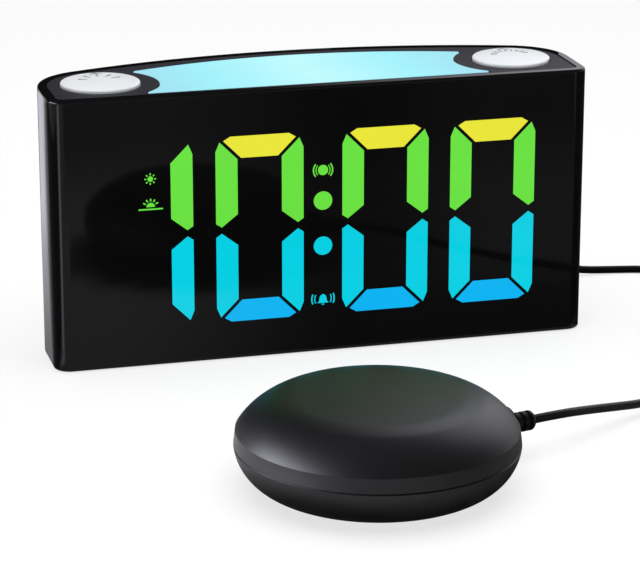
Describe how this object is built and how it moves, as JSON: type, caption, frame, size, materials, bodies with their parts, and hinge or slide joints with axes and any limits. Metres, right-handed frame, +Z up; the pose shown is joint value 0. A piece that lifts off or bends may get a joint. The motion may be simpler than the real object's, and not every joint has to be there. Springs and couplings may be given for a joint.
{
  "type": "bed shaker alarm clock",
  "caption": "Table alarm clock with a large lit display, a night-light snooze bar and round top buttons, wired to a round bed shaker on a lead.",
  "frame": {"origin": "on the table, at the centre of the footprint of the clock and the shaker together", "axes": "+X to the right of the display as its reader sees it, +Y towards the back of the clock, +Z up"},
  "size_m": [0.2695, 0.2433, 0.1014],
  "materials": {
    "case_gloss": "high-gloss smoked black",
    "trim_grey": "satin dark grey",
    "button_white": "glossy off-white",
    "night_light": "translucent ice blue, lit from below",
    "bar_yellow": "lit display bar",
    "bar_green": "lit display bar",
    "bar_cyan": "lit display bar",
    "bar_blue": "lit display bar",
    "cover_black": "fine-grained black",
    "key_black": "satin black",
    "reflector_white": "matt white",
    "board_green": "solder-masked board",
    "component_black": "moulded black",
    "lamp_white": "clear lamp chips",
    "steel": "plain plated steel",
    "pin_nickel": "bright nickel",
    "weight_brass": "sintered heavy metal, brass coloured",
    "cone_paper": "dark paper",
    "foot_rubber": "soft black rubber",
    "shaker_black": "satin charcoal black",
    "lead_rubber": "smooth black",
    "tie_black": "flat black band"
  },
  "bodies": {
    "clock_and_shaker": {"battery_contact": "steel", "battery_holder": "cover_black", "board_screws": "steel", "cabinet": "case_gloss", "clamp_screws": "steel", "clock_lead": "lead_rubber", "coil_tie": "tie_black", "cord_coil": "lead_rubber", "cover_screws": "steel", "dc_jack": "component_black", "digit_reflector": "reflector_white", "dimmer_control": "component_black", "display_base_bars": "bar_blue", "display_board": "board_green", "display_dark_bars": "case_gloss", "display_lower_bars": "bar_cyan", "display_screws": "steel", "display_top_bars": "bar_yellow", "display_upper_bars": "bar_green", "jack_plug": "lead_rubber", "lead_strain_relief": "lead_rubber", "main_board": "board_green", "main_chip": "component_black", "mode_switch_body": "component_black", "motor_clamp": "steel", "night_light_lamps": "lamp_white", "plug_pin": "pin_nickel", "rear_cover": "cover_black", "rear_key_switches": "component_black", "rubber_feet": "foot_rubber", "segment_lights": "lamp_white", "shaker_bottom_shell": "shaker_black", "shaker_lead": "lead_rubber", "shaker_motor": "steel", "shaker_pad": "foot_rubber", "shaker_screws": "steel", "shaker_socket": "component_black", "shaker_top_shell": "shaker_black", "speaker_basket": "steel", "speaker_cone": "cone_paper", "top_board": "board_green", "top_key_switches": "component_black", "top_plate": "trim_grey", "usb_socket_left": "steel", "usb_socket_right": "steel"},
    "hour_key": {"hour_button": "button_white"},
    "minute_key": {"minute_button": "button_white"},
    "snooze_bar": {"night_light_bar": "night_light"},
    "time_set_key": {"time_set_button": "key_black"},
    "alarm_set_key": {"alarm_set_button": "key_black"},
    "mode_slide": {"mode_slider": "key_black"},
    "dimmer": {"dimmer_wheel": "key_black"},
    "battery_drawer": {"battery_tray": "cover_black", "coin_cell": "steel"},
    "shaker_rotor": {"motor_shaft": "steel", "eccentric_weight": "weight_brass"}
  },
  "joints": [
    {"name": "hour_press", "type": "slide", "parent": "clock_and_shaker", "child": "hour_key", "axis": [0, 0, -1], "range_m": [0, 0.001], "stiffness_N_per_m": 1500, "springref_m": -0.0004},
    {"name": "minute_press", "type": "slide", "parent": "clock_and_shaker", "child": "minute_key", "axis": [0, 0, -1], "range_m": [0, 0.001], "stiffness_N_per_m": 1500, "springref_m": -0.0004},
    {"name": "snooze_press", "type": "slide", "parent": "clock_and_shaker", "child": "snooze_bar", "axis": [0, 0, -1], "range_m": [0, 0.001], "stiffness_N_per_m": 2400, "springref_m": -0.0004},
    {"name": "time_set_press", "type": "slide", "parent": "clock_and_shaker", "child": "time_set_key", "axis": [0, -1, 0], "range_m": [0, 0.0008], "stiffness_N_per_m": 1200, "springref_m": -0.0004},
    {"name": "alarm_set_press", "type": "slide", "parent": "clock_and_shaker", "child": "alarm_set_key", "axis": [0, -1, 0], "range_m": [0, 0.0008], "stiffness_N_per_m": 1200, "springref_m": -0.0004},
    {"name": "mode_slide", "type": "slide", "parent": "clock_and_shaker", "child": "mode_slide", "axis": [0, 0, 1], "range_m": [-0.003, 0.003]},
    {"name": "dimmer_turn", "type": "hinge", "parent": "clock_and_shaker", "child": "dimmer", "pos_m": [0.066, 0.10296, 0.057], "axis": [0, 0, 1], "range_deg": [0, 270]},
    {"name": "battery_drawer_slide", "type": "slide", "parent": "clock_and_shaker", "child": "battery_drawer", "axis": [0, 1, 0], "range_m": [0, 0.024]},
    {"name": "shaker_spin", "type": "hinge", "parent": "clock_and_shaker", "child": "shaker_rotor", "pos_m": [-0.01821, -0.0723, 0.015], "axis": [1, 0, 0], "continuous": true}
  ]
}
